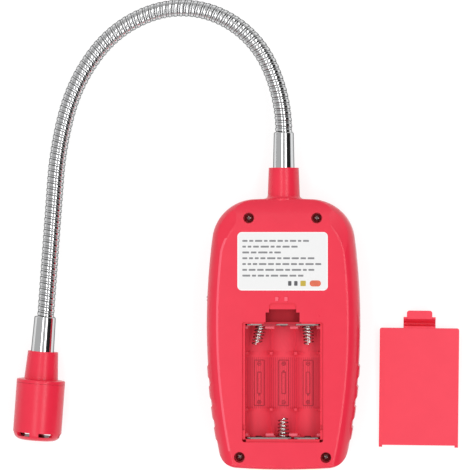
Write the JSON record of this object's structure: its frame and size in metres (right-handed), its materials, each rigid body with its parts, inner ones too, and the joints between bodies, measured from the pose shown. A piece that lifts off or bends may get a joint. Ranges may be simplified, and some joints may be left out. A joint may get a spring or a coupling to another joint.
{
  "type": "combustible gas detector",
  "caption": "Hand-held gas detector with a two-shell case, an open battery bay, a bendable chrome neck that ends in a slotted sensor head, a thumbwheel, and its battery cover lying beside it.",
  "frame": {"origin": "on the surface it lies on, at the middle of the case's flat front face", "axes": "+X to the battery cover's side, +Y along the case towards the neck's collar, +Z out of the back"},
  "size_m": [0.2004, 0.2098, 0.0282],
  "materials": {
    "case_red": "moulded satin",
    "panel_black": "gloss",
    "label_white": "satin film",
    "screw_steel": "blackened",
    "board_green": "solder mask",
    "part_black": "moulded",
    "wheel_grey": "moulded",
    "led_clear": "clear epoxy",
    "contact_nickel": "nickel plate",
    "neck_chrome": "bright plate",
    "sensor_steel": "woven cap"
  },
  "bodies": {
    "case": {"back_shell": "case_red", "front_shell": "case_red", "front_panel": "panel_black", "label": "label_white", "case_screws": "screw_steel", "main_board": "board_green", "buzzer": "part_black", "potentiometer": "part_black", "led_1": "led_clear", "led_2": "led_clear", "led_3": "led_clear", "led_4": "led_clear", "led_5": "led_clear", "led_6": "led_clear", "contact_pack_negative": "contact_nickel", "contact_link_top": "contact_nickel", "contact_link_bottom": "contact_nickel", "contact_pack_positive": "contact_nickel", "contact_spring_left": "contact_nickel", "contact_spring_middle": "contact_nickel", "contact_spring_right": "contact_nickel", "case_ferrule": "neck_chrome", "neck_link_1": "neck_chrome", "battery_cover": "case_red"},
    "thumbwheel": {"thumbwheel": "wheel_grey"},
    "neck_2": {"neck_link_2": "neck_chrome"},
    "neck_3": {"neck_link_3": "neck_chrome"},
    "neck_4": {"neck_link_4": "neck_chrome"},
    "neck_5": {"neck_link_5": "neck_chrome"},
    "neck_6": {"neck_link_6": "neck_chrome"},
    "neck_7": {"neck_link_7": "neck_chrome"},
    "head": {"neck_link_8": "neck_chrome", "head_ferrule": "neck_chrome", "head_base": "case_red", "head_cup": "case_red", "sensor_board": "board_green", "gas_sensor": "sensor_steel"}
  },
  "joints": [
    {"name": "thumbwheel_turn", "type": "hinge", "parent": "case", "child": "thumbwheel", "pos_m": [-0.02951, 0.0155, 0.014], "axis": [0, 0, 1], "range_deg": [0, 270]},
    {"name": "neck_lift_1", "type": "hinge", "parent": "case", "child": "neck_2", "pos_m": [-0.00658, 0.11995, 0.01382], "axis": [0.9082, 0.4179, 0.025], "range_deg": [-55, 55]},
    {"name": "neck_bend_2", "type": "hinge", "parent": "neck_2", "child": "neck_3", "pos_m": [-0.02787, 0.14162, 0.01323], "axis": [-0.0275, 0, 0.9996], "range_deg": [-55, 18]},
    {"name": "neck_bend_3", "type": "hinge", "parent": "neck_3", "child": "neck_4", "pos_m": [-0.05806, 0.14397, 0.0124], "axis": [-0.0275, 0, 0.9996], "range_deg": [-52, 18]},
    {"name": "neck_bend_4", "type": "hinge", "parent": "neck_4", "child": "neck_5", "pos_m": [-0.0834, 0.12694, 0.0117], "axis": [-0.0275, 0, 0.9996], "range_deg": [-45, 18]},
    {"name": "neck_bend_5", "type": "hinge", "parent": "neck_5", "child": "neck_6", "pos_m": [-0.09749, 0.09957, 0.01131], "axis": [-0.0275, 0, 0.9996], "range_deg": [-35, 20]},
    {"name": "neck_bend_6", "type": "hinge", "parent": "neck_6", "child": "neck_7", "pos_m": [-0.10278, 0.06908, 0.01117], "axis": [-0.0275, 0, 0.9996], "range_deg": [-30, 25]},
    {"name": "neck_lift_7", "type": "hinge", "parent": "neck_7", "child": "head", "pos_m": [-0.10505, 0.03816, 0.0111], "axis": [-0.9969, 0.0732, -0.0275], "range_deg": [-50, 50]}
  ]
}
